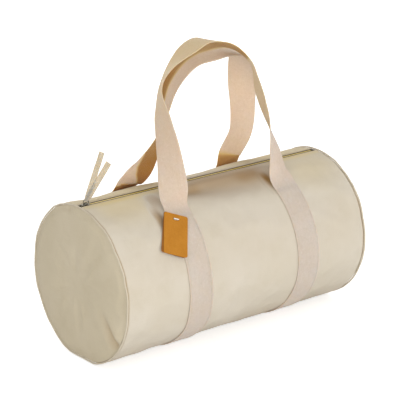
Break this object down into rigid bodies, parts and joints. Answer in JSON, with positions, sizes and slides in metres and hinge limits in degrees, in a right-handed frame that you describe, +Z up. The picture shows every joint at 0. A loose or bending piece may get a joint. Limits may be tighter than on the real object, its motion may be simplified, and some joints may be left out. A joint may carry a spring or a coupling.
{
  "type": "barrel duffel bag",
  "caption": "Canvas barrel bag with a zip along the top, webbing bands and two standing carry handles, a ribbon zip pull and a hanging card tag.",
  "frame": {"origin": "on the floor, under the middle of the barrel", "axes": "X runs along the barrel with the closed slider at -X; -Y is the front, with the tag; +Z is up"},
  "size_m": [0.492, 0.2542, 0.4764],
  "materials": {
    "canvas": "matte",
    "end_canvas": "matte",
    "seam": "matte",
    "binding": "matte",
    "webbing": "matte",
    "zip_tape": "matte",
    "zip_teeth": "satin",
    "steel": "satin",
    "ribbon": "matte",
    "tag_card": "matte",
    "tag_card_back": "matte",
    "fastener_plastic": "satin"
  },
  "bodies": {
    "bag": {"body_panel": "canvas", "end_panel_left": "end_canvas", "end_panel_right": "end_canvas", "end_seam_left": "seam", "end_seam_right": "seam", "seam_binding_left": "binding", "seam_binding_right": "binding", "strap_band_left": "webbing", "strap_band_right": "webbing", "zip_tape_front": "zip_tape", "zip_tape_back": "zip_tape", "zip_teeth_front": "zip_teeth", "zip_teeth_back": "zip_teeth", "top_stop_front": "steel", "top_stop_back": "steel", "bottom_stop": "steel"},
    "zip_slider": {"slider_body": "steel"},
    "zip_pull": {"pull_ring": "steel", "ribbon_pull": "ribbon"},
    "front_handle": {"front_handle": "webbing"},
    "back_handle": {"back_handle": "webbing"},
    "tag": {"hang_tag": "tag_card", "tag_back_leaf": "tag_card_back", "tag_fastener": "fastener_plastic"}
  },
  "joints": [
    {"name": "zip_slide", "type": "slide", "parent": "bag", "child": "zip_slider", "axis": [1, 0, 0], "range_m": [0, 0.452], "deforming": ["zip_teeth_front", "zip_teeth_back"]},
    {"name": "pull_swing", "type": "hinge", "parent": "zip_slider", "child": "zip_pull", "pos_m": [-0.2265, 0, 0.2502], "axis": [0, 1, 0], "range_deg": [-100, 45]},
    {"name": "front_handle_swing", "type": "hinge", "parent": "bag", "child": "front_handle", "pos_m": [0.0035, -0.06023, 0.23688], "axis": [1, 0, 0], "range_deg": [0, 90]},
    {"name": "back_handle_swing", "type": "hinge", "parent": "bag", "child": "back_handle", "pos_m": [0.0035, 0.07174, 0.22997], "axis": [-1, 0, 0], "range_deg": [0, 90]},
    {"name": "tag_swing", "type": "hinge", "parent": "bag", "child": "tag", "pos_m": [-0.1145, -0.07735, 0.22962], "axis": [-0.891, 0.2918, 0.3478], "range_deg": [0, 35]}
  ]
}
